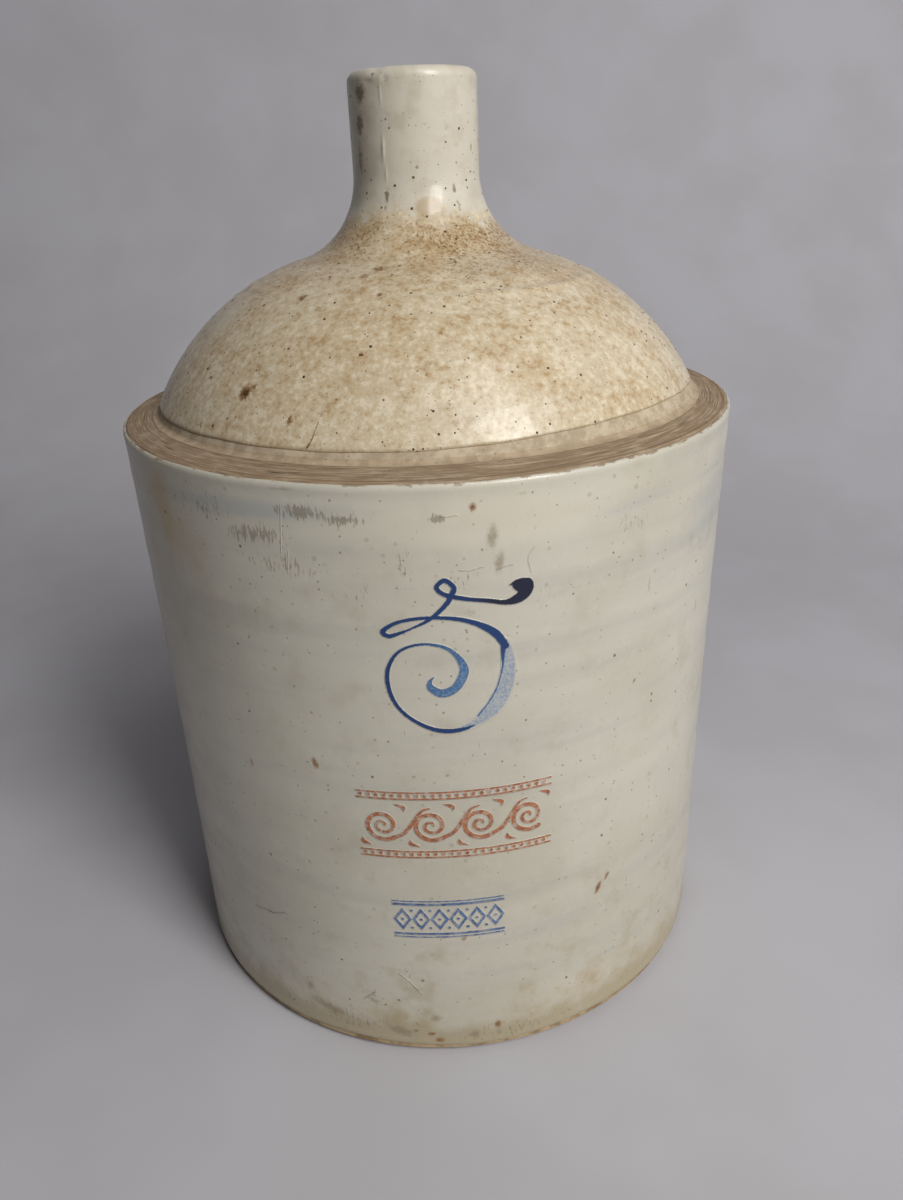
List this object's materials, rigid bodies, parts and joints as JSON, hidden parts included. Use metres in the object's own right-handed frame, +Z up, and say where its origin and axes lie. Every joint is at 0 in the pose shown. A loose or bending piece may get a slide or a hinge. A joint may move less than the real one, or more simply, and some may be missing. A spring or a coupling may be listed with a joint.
{
  "type": "stoneware jug",
  "caption": "Large straight-sided stoneware shoulder jug with a bare ledge, a domed top, a short neck that takes a cork, and one strap handle at the back.",
  "frame": {"origin": "centre of the foot, on the floor", "axes": "+Z up along the jug's axis, the marked front faces -Y, the handle stands at +Y"},
  "size_m": [0.303, 0.303, 0.4517],
  "materials": {
    "buff_clay": "matte",
    "pale_clay": "matte",
    "joint_slip": "matte",
    "body_coat": "gloss",
    "top_coat": "gloss",
    "lining_coat": "gloss"
  },
  "bodies": {
    "root": {"body": "buff_clay", "shoulder_ring": "buff_clay", "dome": "pale_clay", "neck": "pale_clay", "handle": "pale_clay", "shoulder_slip": "joint_slip", "dome_slip": "joint_slip", "neck_slip": "joint_slip", "handle_slip": "joint_slip", "body_glaze": "body_coat", "top_glaze": "top_coat", "handle_glaze": "top_coat", "lining_glaze": "lining_coat"}
  },
  "joints": []
}
